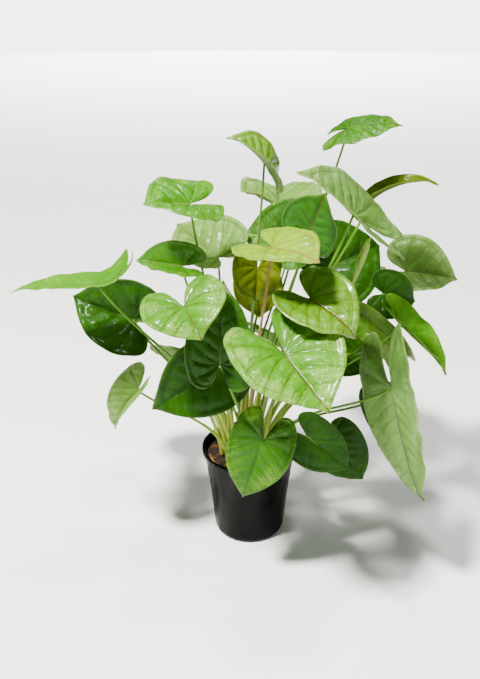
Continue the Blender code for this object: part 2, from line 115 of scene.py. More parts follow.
LEAVES = {name: Leaf(*row) for name, *row in (
    ("leaf_top_right", (94, 0, 472), (145, -12, 477), (-0.3, -0.25, 0.95),
     31, 28, (-5, 5), -10, 25, 30, "mid", "mid"),
    ("leaf_high_right", (95, -60, 403), (43, -70, 450), (0.5, -0.3, 0.8),
     38, 62, (25, 20), -5, 10, -15, "grey", "ashen"),
    ("leaf_top_left", (13, 0, 438), (-24, 0, 465), (0.45, -0.35, 0.8),
     33, 26, (35, 5), 0, 35, 30, "yellow", "lime"),
    ("leaf_back_top", (33, 88, 370), (34, 150, 378), (0, -0.2, 1),
     50, 44, (35, 25), -15, 10, -65, "grey", "sage"),
    ("leaf_back_stripe", (50, 42, 345), (-9, 60, 346), (-0.3, -0.8, 0.65),
     44, 20, (20, 15), 10, 10, 0, "grey", "striped"),
    ("leaf_glossy_dark", (57, -20, 373), (69, -45, 420), (-0.3, -0.9, 0.35),
     32, 18, (5, 10), 0, -10, 10, "dark", "glossy"),
    ("leaf_yellow_centre", (19, -70, 375), (60, -115, 378), (-0.15, -0.25, 1),
     39, 30, (0, 15), 0, 10, -20, "yellow", "chartreuse"),
    ("leaf_olive_under", (7, -31, 340), (4, -35, 304), (-0.1, -1, 0.05),
     30, 17, (30, 30), 10, 40, 0, "yellow", "olive"),
    ("leaf_left_high", (-60, -30, 405), (-102, -57, 413), (0.45, -0.5, 0.7),
     44, 32, (45, -15), -15, 10, -35, "light", "bright"),
    ("leaf_back_left", (-35, 40, 326), (-83, 90, 350), (0, -0.4, 0.9),
     46, 22, (20, 30), 10, -10, 0, "grey", "sage"),
    ("leaf_left_mid", (-69, -40, 345), (-115, -35, 350), (-0.3, -0.6, 0.75),
     25, 24, (35, 30), 15, 10, -10, "mid", "bright"),
    ("leaf_far_left", (-151, -52, 330), (-234, -68, 332), (0, 0.3, 1),
     25, 54, (0, 30), 0, 0, -85, "light", "fresh"),
    ("leaf_left_round", (-126, 0, 269), (-192, 10, 293), (-0.3, -0.9, 0.3),
     45, 20, (35, 10), 10, 15, 20, "dark", "deep"),
    ("leaf_left_front", (-63, -100, 327), (-46, -132, 309), (-0.3, -0.6, 0.7),
     42, 26, (5, 35), -15, 10, 20, "light", "patched", (-30, 20, 20)),
    ("leaf_centre_dark", (-30, -100, 267), (-28, -75, 345), (-0.3, -0.9, 0.4),
     36, 26, (5, 10), 0, 10, -5, "dark", "deep", (10, -20, 0)),
    ("leaf_left_low", (-34, -58, 241), (-102, -80, 203), (-0.2, -0.95, 0.3),
     43, 25, (-10, 25), 10, 10, 0, "dark", "deep"),
    ("leaf_left_small", (-120, -40, 205), (-150, -40, 155), (-0.75, -0.6, 0.3),
     26, 28, (35, 25), 10, 30, -20, "light", "sage"),
    ("leaf_front_large", (30, -130, 292), (68, -184, 262), (0.2, -0.4, 0.85),
     54, 48, (35, 15), -20, 0, 20, "light", "patched"),
    ("leaf_front_low", (12, -95, 176), (-9, -110, 116), (-0.1, -0.95, 0.3),
     34, 32, (5, 5), 0, 15, 0, "mid", "mid"),
    ("leaf_right_low", (61, -50, 154), (110, -52, 110), (-0.1, -0.95, 0.3),
     30, 24, (10, 5), 10, 15, -10, "dark", "deep"),
    ("leaf_right_low_behind", (93, -22, 133), (131, -28, 79), (-0.1, -0.95, 0.3),
     32, 20, (10, 5), 0, 15, -10, "dark", "deep"),
    ("leaf_right_hanging", (140, -85, 231), (175, -120, 114), (-0.6, -0.75, 0.1),
     40, 62, (30, -10), 0, 15, 30, "grey", "streaked"),
    ("leaf_right_light", (159, -20, 271), (209, -45, 228), (0.4, -0.45, 0.8),
     32, 34, (5, 45), 0, 0, -10, "light", "fresh"),
    ("leaf_right_round", (144, 18, 292), (182, 22, 281), (0.1, -0.9, 0.4),
     28, 15, (20, 20), -10, 30, 10, "dark", "deep"),
    ("leaf_right_back", (178, 74, 297), (235, 57, 294), (-0.1, -0.7, 0.7),
     43, 25, (15, 30), 10, 20, -10, "grey", "sage"),
    ("leaf_dark_back", (90, 60, 306), (150, 84, 326), (-0.05, -0.8, 0.6),
     52, 32, (20, 10), -10, 20, 20, "dark", "deep"),
    ("leaf_right_centre", (55, -90, 331), (97, -122, 306), (0.1, -0.5, 0.85),
     40, 28, (5, 10), 10, 25, -15, "yellow", "lime"),
    ("leaf_right_narrow", (121, 0, 401), (183, -20, 424), (-0.3, -0.2, 0.9),
     13, 12, (40, 40), 0, 55, 0, "grey", "olive"),
    ("leaf_right_behind", (146, -5, 175), (178, -12, 96), (-0.3, -0.9, 0.2),
     24, 20, (10, 10), 0, 10, 0, "dark", "deep"),
    ("leaf_inner_light", (97, -28, 262), (125, -34, 262), (0, -0.6, 0.8),
     24, 18, (10, 10), 0, 10, 0, "light", "fresh"),
    ("leaf_inner_dark", (110, 20, 218), (130, 8, 199), (0, -0.8, 0.5),
     28, 18, (15, 15), 0, 10, 0, "dark", "deep"),
    ("leaf_right_yellow", (119, -2, 275), (185, -6, 221), (0.35, -0.85, 0.4),
     14, 14, (10, 15), 0, 20, 0, "yellow", "lime"),
    ("leaf_olive_low", (8, 28, 298), (10, 10, 266), (0, -0.8, 0.5),
     28, 16, (15, 15), 0, 20, 0, "yellow", "olive"),
    ("leaf_rear_low_left", (-75, 70, 195), (-75, 125, 140), (0, 0.6, 0.8),
     45, 30, (10, 15), 0, 20, 10, "mid", "mid"),
    ("leaf_rear_middle", (35, 95, 205), (55, 150, 150), (0.2, 0.6, 0.7),
     50, 30, (15, 10), 0, 20, 10, "light", "fresh"),
    ("leaf_rear_right", (115, 115, 285), (140, 175, 245), (0.3, 0.5, 0.8),
     46, 32, (10, 15), 0, 20, 0, "mid", "mid", (0, -20, 0)),
    ("leaf_rear_high", (50, 125, 310), (50, 185, 280), (0, 0.4, 0.9),
     42, 30, (15, 15), 0, 20, 0, "light", "patched"),
    ("leaf_rear_left", (-135, 65, 235), (-175, 120, 195), (-0.4, 0.4, 0.8),
     44, 26, (15, 10), 0, 20, 10, "dark", "deep"),
    ("leaf_rear_right_low", (147, 75, 205), (183, 122, 150), (0.5, 0.5, 0.7),
     30, 22, (10, 10), 0, 20, 0, "grey", "sage"),
)}

# The young leaf still rolled round itself
ROLLED_LOW = (101, -40, 322)
ROLLED_TIP = (114, -50, 380)
ROLLED_RADIUS = 4 * MM
ROLLED_TURNS = 1.8
ROLLED_START = 2.4
ROLLED_SLANT = 0.22

ROOT_RADIUS = 1.1 * MM
ROOTS = {
    "surface_root_long": ((-8, -44), (-20, -41), (-33, -33), (-42, -20), (-46, -6)),
    "surface_root_short": ((30, -37), (39, -27), (45, -14), (47, -2)),
}

# How finely things are made
FOLD_SOFTNESS = 0.04
TIP_NOD = 0.05
PETIOLE_STEPS = 28
PETIOLE_SIDES = 12
RIB_STEPS = 12
RIB_SIDES = 8
ROLL_SIDES = 40
ROLL_STEPS = 24
ROOT_STEPS = 40
ROOT_SIDES = 10
POT_SIDES = 96
DRAIN_SIDES = 24
# The half step over which a blade's slope is measured
SLOPE_STEP = 0.1 * MM
# A lump's turn about the upright, in radians, and its tilt to either side
LUMP_TURN = 6.28
LUMP_TILT = 0.4

# Stage: a wide floor, a key from high on the left, a light above the plant, a weak fill
# from the right, a rim light behind the plant, and broad lights that keep the far floor
# pale on every side. The camera sees a pale background, and the plant a dim one
FLOOR_RADIUS = 5.5
FLOOR_SIDES = 96
WORLD_STRENGTH = 0.13
LIGHTS = (
    ("key", (-0.75, -0.65, 2.15), (0, 0, 0.25), 0.3, 200, (1, 0.98, 0.93), 180),
    ("top", (0.12, 0.1, 2.3), (0.05, 0, 0.3), 0.2, 28, (1, 0.99, 0.96), 180),
    ("fill", (0.9, -1.7, 1.0), (0, 0, 0.25), 1.2, 5, (1, 1, 1), 180),
    ("rim", (0.1, 1.25, 1.9), (0, 0, 0.3), 0.25, 11, (1, 0.99, 0.96), 180),
)
FAR_DISTANCE = 5
FAR_HEIGHT = 4.5
FAR_REACH = 6
FAR_WATTS = 900
FAR_LIGHTS = 4
FAR_SPREAD = 90
BACKGROUND = 5
CAMERA_PLACE = (-0.011, -0.785, 0.620)
CAMERA_TILT = math.radians(64.5)
CAMERA_LENS = 42.4
CAMERA_SENSOR = 36
CAMERA_SIGHT = 100

# How a blade is coloured: names of palette colours, how much of it the patches
# cover, how coarse they are, how rough its face is, how much light comes
# through it, how strongly its veins show, how wet its gloss looks, and how much
# painted shade darkens its lobes
Look = namedtuple("Look", "base patch vein cover coarse rough glow veins shine dusk")
LOOKS = {
    "bright": Look("bright_green", "soft_green", "vein_pale", 0.3, 3.0, 0.24, 0.3, 0.3, 0.35, 0.1),
    "fresh": Look("fresh_green", "soft_green", "vein_pale", 0.5, 2.5, 0.45, 0.35, 0.3, 0.15, 0),
    "patched": Look("fresh_green", "cream_green", "vein_brown", 0.5, 3.5, 0.33, 0.3, 0.5, 0.3, 0.25),
    "sage": Look("sage_green", "silver_green", "vein_grey", 0.5, 3.0, 0.45, 0.25, 0.5, 0.15, 0.1),
    "striped": Look("mid_green", "silver_green", "vein_pale", 0.3, 2.0, 0.38, 0.25, 0.3, 0.2, 0),
    "ashen": Look("ashen_green", "silver_green", "vein_grey", 0.35, 3.5, 0.5, 0.15, 0.3, 0.08, 0.2),
    "streaked": Look("ashen_green", "silver_green", "vein_purple", 0.25, 3.0, 0.42, 0.15, 0.6, 0.1, 0.8),
    "mid": Look("mid_green", "soft_green", "vein_dark", 0.35, 3.0, 0.33, 0.25, 0.3, 0.22, 0.1),
    "deep": Look("deep_green", "mid_green", "vein_dark", 0.2, 2.5, 0.3, 0.14, 0.35, 0.08, 0.15),
    "glossy": Look("intense_green", "mid_green", "vein_red", 0.2, 2.5, 0.2, 0.25, 0.6, 0.25, 0),
    "chartreuse": Look("chartreuse", "cream_green", "vein_pink", 0.15, 4.0, 0.3, 0.35, 0.9, 0.4, 0),
    "lime": Look("lime_green", "cream_green", "vein_red", 0.25, 3.0, 0.26, 0.3, 0.6, 0.9, 0.3),
    "olive": Look("olive_green", "lime_green", "vein_red", 0.3, 3.0, 0.4, 0.4, 0.4, 0.1, 0),
}
ROLLED_LOOK = Look("cream_green", "sheath", "vein_brown", 0.5, 3.0, 0.4, 0.3, 0.3, 0.1, 0)

# Patterns on a blade, in repeats to half its width: specks of 1 to 2 mm, the net of small
# veins, wrinkles and puckers between them, the waver of the laterals and streaks beside them
SPECKLES = 26.0
NET = 14.0
WRINKLES = 17.0
PUCKERS = 6.5
WAVERS = 2.5
LEAF_STREAKS = 2.2
STREAK_DRAW = 3.2
LEAF_BUMP = 0.35 * MM
# The other patterns, in repeats to a metre: clouds of 20 to 35 mm and broad areas of 60 mm on
# a blade, streaks of 2.4 by 40 mm on a stalk, flow of 13 by 140 mm, pricks of 0.7 mm and dust
# of 18 mm on the pot, lumps of 4.5 mm in the soil and 6 mm in the bark, rings of 2 mm on a
# root, and the paper's tooth, which is drawn coarse enough to show
CLOUDS = 14
BROAD_AREAS = 16.0
STALK_STREAKS = (420, 420, 25)
POT_FLOW = (75, 75, 7)
POT_PRICKS = 1400.0
POT_DUST = 55.0
SOIL_LUMPS = 220.0
BARK_LUMPS = 160.0
FIBRES_TO_A_LUMP = 6
ROOT_RINGS = 500.0
PAPER_TOOTH = 300.0

# The colours, as sRGB hex codes, and what each is for
PALETTE = {
    "bright_green": ("#418107", "Glossy young blades"),
    "fresh_green": ("#4B8E06", "Light matte blades"),
    "soft_green": ("#79AE26", "Light patches on green blades"),
    "cream_green": ("#9ABC54", "Pale speckled patches"),
    "sage_green": ("#688F3A", "Pale old blades"),
    "silver_green": ("#94B272", "Silvery patches"),
    "mid_green": ("#2F6203", "Ordinary blades"),
    "ashen_green": ("#60883C", "Greyish matte blades"),
    "deep_green": ("#1C4300", "Dark old blades"),
    "intense_green": ("#2A6C00", "Dark glossy blades"),
    "chartreuse": ("#8AB202", "Yellow-green young blades"),
    "lime_green": ("#64940A", "Yellowish glossy blades"),
    "olive_green": ("#687207", "Thin blades with light behind them"),
    "vein_pale": ("#88A248", "Veins lighter than the blade"),
    "vein_brown": ("#4C3C13", "Thin brown veins"),
    "vein_grey": ("#555830", "Grey-brown veins"),
    "vein_purple": ("#4F3B43", "Purple-brown veins"),
    "vein_dark": ("#112800", "Veins darker than the blade"),
    "vein_red": ("#552008", "Dark red-brown veins"),
    "vein_pink": ("#985A40", "Pink-brown veins"),
    "margin": ("#9DAE5F", "The thin pale edge of a blade"),
    "glow": ("#85BA0C", "Light that has come through a blade"),
    "underside": ("#748C45", "What a blade's lower face is paler towards"),
    "petiole": ("#4A740C", "Green petioles"),
    "petiole_pink": ("#836835", "Pinkish-brown petioles"),
    "sheath": ("#8F9A34", "Pale sheaths at the soil"),
    "pot": ("#040404", "Black plastic"),
    # Grey for the pot's real rubbed wear and for its painted sheen streaks, and for the paper floor's
    # tooth
    "scuff": ("#141312", "Greyish rubbed plastic"),
    "soil": ("#1E1105", "Damp potting mix"),
    "soil_dry": ("#35200A", "Dry crumbs of the mix"),
    "bark": ("#74400F", "Orange-brown bark"),
    "root": ("#AC7530", "Tan roots"),
    "old_tissue": ("#CBDA95", "What a blade's broad darker areas are multiplied by"),
    # Painted shade: the colour that the lobes are multiplied by, as though shaded in the hollow round
    # the petiole
    "painted_lobe_shade": ("#95A67C", "What a blade's darker lobes are multiplied by"),
    "streak": ("#CBD3AA", "What a petiole's darker streaks are multiplied by"),
    "fibre": ("#AAA29C", "What the darker fibres of soil and bark are multiplied by"),
    "floor": ("#FBFBFA", "Pale studio floor"),
}

# The kinds of shader node: Blender's name for one, its inputs in order, the output that is
# used, or None for all of them, and its settings. A kind that isn't here is the operation
# of a Math node
KINDS = {
    "ease": ("MapRange", range(5), 0, {"interpolation_type": "SMOOTHSTEP"}),
    "blend": ("Mix", (0, 6, 7), 2, {"data_type": "RGBA"}),
    "multiply": ("Mix", (0, 6, 7), 2, {"data_type": "RGBA", "blend_type": "MULTIPLY"}),
    "noise": ("TexNoise", ("Vector", "Scale", "Detail", "Roughness"), 0, {}),
    "cells": ("TexVoronoi", ("Vector", "Scale"), 0, {"feature": "DISTANCE_TO_EDGE"}),
    "bump": ("Bump", ("Height", "Distance", "Strength"), 0, {}),
    "place": ("TexCoord", (), "Object", {}),
    "map": ("UVMap", (), 0, {}),
    "stretch": ("Mapping", ("Vector", "Scale"), 0, {}),
    "split": ("SeparateXYZ", (0,), None, {}),
    "join": ("CombineXYZ", range(3), 0, {}),
    "seen": ("LightPath", (), "Is Camera Ray", {}),
    "translucent": ("BsdfTranslucent", ("Color",), 0, {}),
    "both": ("MixShader", range(3), 0, {}),
}


def linear(code):
    """The linear colour of an sRGB hex code."""
    shares = [int(code[i:i + 2], 16) / 255 for i in (1, 3, 5)]
    return tuple(s / 12.92 if s <= 0.04045 else ((s + 0.055) / 1.055) ** 2.4 for s in shares)


def colour(name, code, description):
    """A colour setting whose default is an sRGB hex code, labelled by its name in words."""
    label = name.replace("_", " ").capitalize()
    return FloatVectorProperty(name=label, description=description, default=linear(code),
                               subtype="COLOR", size=3, min=0, max=1)


def size(name, description, millimetres):
    """A length setting whose default is in millimetres."""
    return FloatProperty(name=name, description=description, default=millimetres * MM,
                         min=0, unit="LENGTH", precision=4)


def whole(name, description, number, least=0):
    """A setting that is a whole number."""
    return IntProperty(name=name, description=description, default=number, min=least)


class ARROWHEAD_PG_sizes(bpy.types.PropertyGroup):
    blade: size("Blade", "Thickness of a leaf blade", 0.5)
    quilting: size("Quilting", "How far the panels between the veins stand up", 2.5)
    waves: size("Waves", "How far a blade's margin waves up and down", 1.6)
    midrib: size("Midrib", "Radius of the midrib under a blade at its petiole", 0.9)
    groove: size("Groove", "Depth of the groove down a sheath", 0.9)
    edge_steps: whole("Edge steps", "Faces round a blade", 96, 16)
    ring_steps: whole("Ring steps", "Faces from petiole to margin", 22, 4)
    crumbs: whole("Crumbs", "Crumbs that are tried on the soil", 900)
    barks: whole("Bark bits", "Bits of bark that are tried on the soil", 90)


class ARROWHEAD_PG_palette(bpy.types.PropertyGroup):
    __annotations__ = {name: colour(name, *row) for name, row in PALETTE.items()}


def settings():
    """The sizes that the pieces are built with."""
    return bpy.context.scene.arrowhead_sizes


def paint(name):
    """A palette colour as a shader socket takes it."""
    return (*getattr(bpy.context.scene.arrowhead_palette, name), 1)


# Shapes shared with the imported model

def bezier(controls, t):
    """A point of the curve with four controls."""
    a, b, c, d = controls
    return a * (1 - t) ** 3 + b * 3 * t * (1 - t) ** 2 + c * 3 * t * t * (1 - t) + d * t ** 3


def outline(length, half_width, lobe, steps):
    """Half of a heart-shaped blade's edge, from its tip round a lobe to the petiole, flat."""
    curves = (
        ((length, 0), (0.86 * length, 0.07 * half_width), (0.68 * length, 0.99 * half_width),
         (0.1 * length, half_width)),
        ((0.1 * length, half_width), (-0.5 * lobe, half_width), (-lobe, 0.82 * half_width),
         (-lobe, 0.48 * half_width)),
        ((-lobe, 0.48 * half_width), (-lobe, 0.2 * half_width), (-0.35 * lobe, 0.1 * half_width),
         (-0.1 * lobe, 0.05 * half_width)),
    )
    shares = (0.45, 0.8, 1.0)
    points = []
    for index in range(steps + 1):
        share = index / steps
        piece = next(i for i, end in enumerate(shares) if share <= end + 1e-9)
        start = shares[piece - 1] if piece else 0.0
        t = (share - start) / (shares[piece] - start)
        points.append(bezier([Vector(p) for p in curves[piece]], t))
    return points


def formed(flat, length, leaf):
    """A flat point of the blade, folded along the midrib, curled and arched."""
    along, across = flat
    soft = FOLD_SOFTNESS * leaf.half_width * MM
    half = abs(across)
    side = 1 if across >= 0 else -1
    fold = leaf.fold[0] if side > 0 else leaf.fold[1]
    slope = math.radians(fold + leaf.curl * half / (2 * leaf.half_width * MM))
    spread = half * math.cos(slope)
    rise = (math.hypot(half, soft) - soft) * math.sin(slope)
    if along >= 0:
        way, bend = 1, math.radians(leaf.arch) / length
    else:
        way, bend = -1, math.radians(leaf.droop) / (leaf.lobe * MM)
    bend = bend if abs(bend) > 1e-6 else 1e-6
    turn = bend * abs(along)
    x = way * (math.sin(turn) / bend + rise * math.sin(turn))
    z = rise * math.cos(turn) - (1 - math.cos(turn)) / bend
    return Vector((x, side * spread, z))


def blade_length(leaf):
    """The midrib's length, which its arch makes longer than the straight way to the tip."""
    chord = (Vector(leaf.tip) - Vector(leaf.junction)).length * MM
    half_arch = math.radians(leaf.arch) / 2
    return chord * half_arch / math.sin(half_arch) if abs(half_arch) > 1e-4 else chord


def blade_frame(leaf):
    """The matrix that stands a formed blade at its junction, pointing at its tip."""
    half_arch = math.radians(leaf.arch) / 2
    flat_axis = Vector((math.cos(half_arch), 0, -math.sin(half_arch)))
    flat_up = Vector((math.sin(half_arch), 0, math.cos(half_arch)))
    flat = Matrix((flat_axis, flat_up.cross(flat_axis), flat_up)).transposed()
    axis = (Vector(leaf.tip) - Vector(leaf.junction)).normalized()
    up = Vector(leaf.faces)
    up = (up - axis * up.dot(axis)).normalized()
    real = Matrix((axis, up.cross(axis), up)).transposed()
    turned = (real @ flat.transposed()).to_4x4()
    return Matrix.Translation(Vector(leaf.junction) * MM) @ turned


def ring_spot(radius, angle, height):
    """The place at an angle and a radius round the pot's axis."""
    return Vector((radius * math.cos(angle), radius * math.sin(angle), height))


def foot_spots():
    """Where petioles may stand in the soil: a spiral of evenly spaced spots."""
    return [ring_spot(FOOT_SPACING * math.sqrt(index + 0.5), GOLDEN_ANGLE * index, SOIL_TOP)
            for index in range(len(LEAVES) + 1)]


def lean_of(junction):
    """How far out a petiole leans, from 0 for upright to 1, and the way it leans."""
    reach = Vector(junction) * MM - Vector((0, 0, SOIL_TOP))
    lean = math.atan2(math.hypot(reach.x, reach.y), reach.z) / WIDEST_LEAN
    return min(lean, 1), Vector((reach.x, reach.y, 0)).normalized()


def feet():
    """Each petiole's spot: they are swapped until no swap brings two nearer to their lean."""
    ends = {name: leaf.junction for name, leaf in LEAVES.items()}
    ends["rolled_leaf"] = ROLLED_LOW
    spots = foot_spots()
    outer = FOOT_SPACING * math.sqrt(len(spots))
    wanted = []
    for end in ends.values():
        lean, way = lean_of(end)
        wanted.append(way * outer * lean + Vector((0, 0, SOIL_TOP)))
    better = True
    while better:
        better = False
        for a, b in combinations(range(len(spots)), 2):
            kept = (spots[a] - wanted[a]).length_squared + (spots[b] - wanted[b]).length_squared
            swapped = (spots[b] - wanted[a]).length_squared + (spots[a] - wanted[b]).length_squared
            if swapped < kept - 1e-9:
                spots[a], spots[b] = spots[b], spots[a]
                better = True
    return dict(zip(ends, spots))


def petiole_line(end, foot, bow=(0, 0, 0)):
    """The petiole's middle line above the soil, with its radius and share of the way, finely."""
    junction = Vector(end) * MM
    reach = junction - foot
    bow = Vector(bow) * MM
    controls = (foot, foot + Vector((0, 0, 0.35 * reach.length)) + reach * 0.1 + bow,
                junction - reach * 0.35 + bow, junction)
    places = [foot - Vector((0, 0, FOOT_DEPTH * 0.9))]
    radii = [SHEATH_RADIUS]
    for step in range(PETIOLE_STEPS + 1):
        t = step / PETIOLE_STEPS
        sheath = max(0.0, 1 - t / SHEATH_SHARE) ** 1.5
        thin = PETIOLE_RADIUS + (NECK_OF_BLADE - PETIOLE_RADIUS) * t
        places.append(bezier(controls, t))
        radii.append(thin + (SHEATH_RADIUS - thin) * sheath)
    return places, radii


def wall_radius(height):
    """The pot's outer radius at a height: it tapers, with a small step part way up."""
    if height >= STEP_HEIGHT:
        share = (height - STEP_HEIGHT) / (POT_HEIGHT - RIM_BAND - STEP_HEIGHT)
        return STEP_RADIUS + STEP_DEPTH + (NECK_RADIUS - STEP_RADIUS - STEP_DEPTH) * min(share, 1)
    share = (height - FOOT_ROUND) / (STEP_HEIGHT - FOOT_ROUND)
    return FOOT_RADIUS + (STEP_RADIUS - FOOT_RADIUS) * max(share, 0)


# Meshes

def smoothstep(low, high, value):
    """The value eased from 0 at low to 1 at high."""
    share = min(max((value - low) / (high - low), 0.0), 1.0)
    return share * share * (3 - 2 * share)


def vein_phase(along, across):
    """Where a point lies among the veins: whole numbers are veins, below 0 in the lobes."""
    bent = along - VEIN_BEND * across * across
    ahead = bent - VEIN_LEAN * across
    if ahead >= 0:
        return ahead / VEIN_SPACING
    return (FAN_START - math.atan2(across, bent)) / FAN_SPACING


def relief(flat, reach, leaf, seed):
    """How far a point of the blade stands above its smooth form."""
    sizes = settings()
    width = leaf.half_width * MM
    across = abs(flat.y) / width
    panel = abs(math.sin(math.pi * vein_phase(flat.x / width, across))) ** 0.7
    inner = smoothstep(0, 0.5, flat.length / width) * smoothstep(0.0, 0.14, across)
    edge = 1 - smoothstep(0.72, MARGIN_VEIN, reach)
    hem = smoothstep(MARGIN_VEIN, 0.93, reach) * (1 - smoothstep(0.93, 1, reach)) * 0.4
    quilt = sizes.quilting * leaf.half_width / USUAL_HALF_WIDTH
    spot = Vector((flat.x / width * 1.6, flat.y / width * 1.6, seed * 7.3))
    waving = sizes.waves * reach ** 3 * 2.4
    wave = noise.noise(spot * 1.3) * waving * leaf.half_width / USUAL_HALF_WIDTH
    pucker = noise.noise(spot * 4) * quilt * 0.45 * inner
    length = blade_length(leaf)
    nod = smoothstep(0.7, 1, flat.x / length) ** 2 * TIP_NOD * length
    return quilt * (panel * inner * edge + hem) + wave + pucker - nod


def new_mesh(name, bm):
    """The bmesh as a mesh."""
    mesh = bpy.data.meshes.new(name)
    bm.to_mesh(mesh)
    bm.free()
    return mesh


def new_object(name, data):
    """A new object in the scene."""
    made = bpy.data.objects.new(name, data)
    bpy.context.scene.collection.objects.link(made)
    return made


def place_piece(name, mesh, materials, nodes):
    """The mesh as a smooth piece on the body, standing for the nodes it replaces."""
    piece = new_object(name, mesh)
    for surface in materials:
        mesh.materials.append(surface)
    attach(piece, BODY)
    if nodes:
        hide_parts(*nodes)
    return piece


def map_layers(bm):
    """The vertex layers that later become the blade's two UV maps, and its upward direction."""
    layers = bm.verts.layers.float_vector
    return tuple(layers.get(name) or layers.new(name) for name in ("flat", "edge", "up"))


def write_maps(bm):
    """The flat and edge layers of the vertices written as UV maps."""
    flat, edge, _ = map_layers(bm)
    for name, layer in (("flat", flat), ("edge", edge)):
        uv = bm.loops.layers.uv.new(name)
        for face in bm.faces:
            for loop in face.loops:
                loop[uv].uv = loop.vert[layer].xy


def thicken(bm, thickness):
    """The sheet given a wall below it, along its upward direction, and shaded smooth."""
    up_layer = map_layers(bm)[2]
    shell = bmesh.ops.extrude_face_region(bm, geom=bm.faces[:], use_keep_orig=True)
    for vert in (item for item in shell["geom"] if isinstance(item, bmesh.types.BMVert)):
        vert.co -= vert[up_layer] * thickness
    bmesh.ops.recalc_face_normals(bm, faces=bm.faces)
    for face in bm.faces:
        face.smooth = True


def add_blade(bm, leaf, seed):
    """The blade: a fine grid wrapped round the petiole, quilted, then thickened."""
    sizes = settings()
    flat_layer, edge_layer, up_layer = map_layers(bm)
    length = blade_length(leaf)
    width = leaf.half_width * MM
    half = outline(length, width, leaf.lobe * MM, sizes.edge_steps // 2)
    edge = [Vector((p.x, -p.y)) for p in reversed(half)] + half[1:]
    stand = blade_frame(leaf)
    steps = (Vector((SLOPE_STEP, 0)), Vector((0, SLOPE_STEP)))
    grid = bmesh.ops.create_grid(bm, x_segments=sizes.edge_steps, y_segments=sizes.ring_steps, size=1)
    for vert in grid["verts"]:
        place = round((vert.co.x + 1) / 2 * sizes.edge_steps)
        reach = (vert.co.y + 1) / 2
        flat = edge[place] * reach
        ahead, aside = (formed(flat + step, length, leaf) - formed(flat - step, length, leaf)
                        for step in steps)
        up = ahead.cross(aside).normalized()
        lift = relief(flat, reach, leaf, seed) + sizes.blade / 2
        vert.co = stand @ (formed(flat, length, leaf) + up * lift)
        vert[flat_layer] = (flat.x / width, flat.y / width, 0)
        vert[edge_layer] = (reach, place / sizes.edge_steps, 0)
        vert[up_layer] = stand.to_3x3() @ up
    bmesh.ops.remove_doubles(bm, verts=grid["verts"], dist=MERGE)
    thicken(bm, sizes.blade)
    for face in bm.faces:
        upward = sum(face.normal.dot(vert[up_layer]) for vert in face.verts) / len(face.verts)
        face.material_index = 0 if upward > 0.3 else 1


def add_tube(bm, places, radii, sides, groove=None, start=Vector((0, 1, 0))):
    """A tapered closed tube through the places, with a groove down it that fades out."""
    flat_layer = map_layers(bm)[0]
    places = [places[0], *places, places[-1]]
    radii = [0.0, *radii, 0.0]
    count = len(places) - 1
    frames = []
    normal = start
    for index, spot in enumerate(places):
        before = places[max(index - 1, 0)]
        after = places[min(index + 1, count)]
        way = (after - before).normalized()
        normal = (normal - way * normal.dot(way)).normalized()
        frames.append((spot, normal, way.cross(normal)))
    grid = bmesh.ops.create_grid(bm, x_segments=sides, y_segments=count, size=1)
    for vert in grid["verts"]:
        angle = (vert.co.x + 1) * math.pi
        row = round((vert.co.y + 1) / 2 * count)
        spot, normal, binormal = frames[row]
        radius = radii[row]
        if groove and radius:
            radius -= groove * (radii[row] / radii[1]) ** 2 * max(0.0, math.cos(angle)) ** 6
        vert.co = spot + normal * radius * math.cos(angle) + binormal * radius * math.sin(angle)
        vert[flat_layer] = (row / count, 0, 0)
    faces = {face for vert in grid["verts"] for face in vert.link_faces}
    bmesh.ops.remove_doubles(bm, verts=grid["verts"], dist=MERGE)
    made = [face for face in faces if face.is_valid]
    bmesh.ops.recalc_face_normals(bm, faces=made)
    for face in made:
        face.smooth = True
    return made


def on_blade(leaf, flat, seed, below):
    """A point of the blade's smooth form, let down below its middle by a distance."""
    length = blade_length(leaf)
    spot = formed(flat, length, leaf)
    lift = relief(flat, flat.length / length, leaf, seed) - below
    return blade_frame(leaf) @ (spot + Vector((0, 0, lift)))


def add_ribs(bm, leaf, seed):
    """The midrib and the two main lobe veins, which stand out below the blade."""
    sizes = settings()
    width = leaf.half_width * MM
    length = blade_length(leaf)
    ends = (
        (Vector((0.82 * length, 0)), 1.0),
        (Vector((-0.7 * leaf.lobe * MM, 0.5 * width)), 0.7),
        (Vector((-0.7 * leaf.lobe * MM, -0.5 * width)), 0.7),
    )
    below = sizes.blade * 0.7
    steps = range(RIB_STEPS + 1)
    for end, share in ends:
        places = [on_blade(leaf, end * (i / RIB_STEPS), seed, below) for i in steps]
        radii = [sizes.midrib * share * (1 - 0.8 * i / RIB_STEPS) for i in steps]
        for face in add_tube(bm, places, radii, RIB_SIDES):
            face.material_index = 1


def leaf_mesh(name, leaf, foot, seed):
    """One leaf as a mesh: blade, ribs and petiole."""
    bm = bmesh.new()
    add_blade(bm, leaf, seed)
    add_ribs(bm, leaf, seed)
    places, radii = petiole_line(leaf.junction, foot, leaf.bow)
    outward = Vector((foot.x, foot.y, 0)).normalized()
    for face in add_tube(bm, places, radii, PETIOLE_SIDES, settings().groove, -outward):
        face.material_index = 2
    write_maps(bm)
    return new_mesh(name, bm)


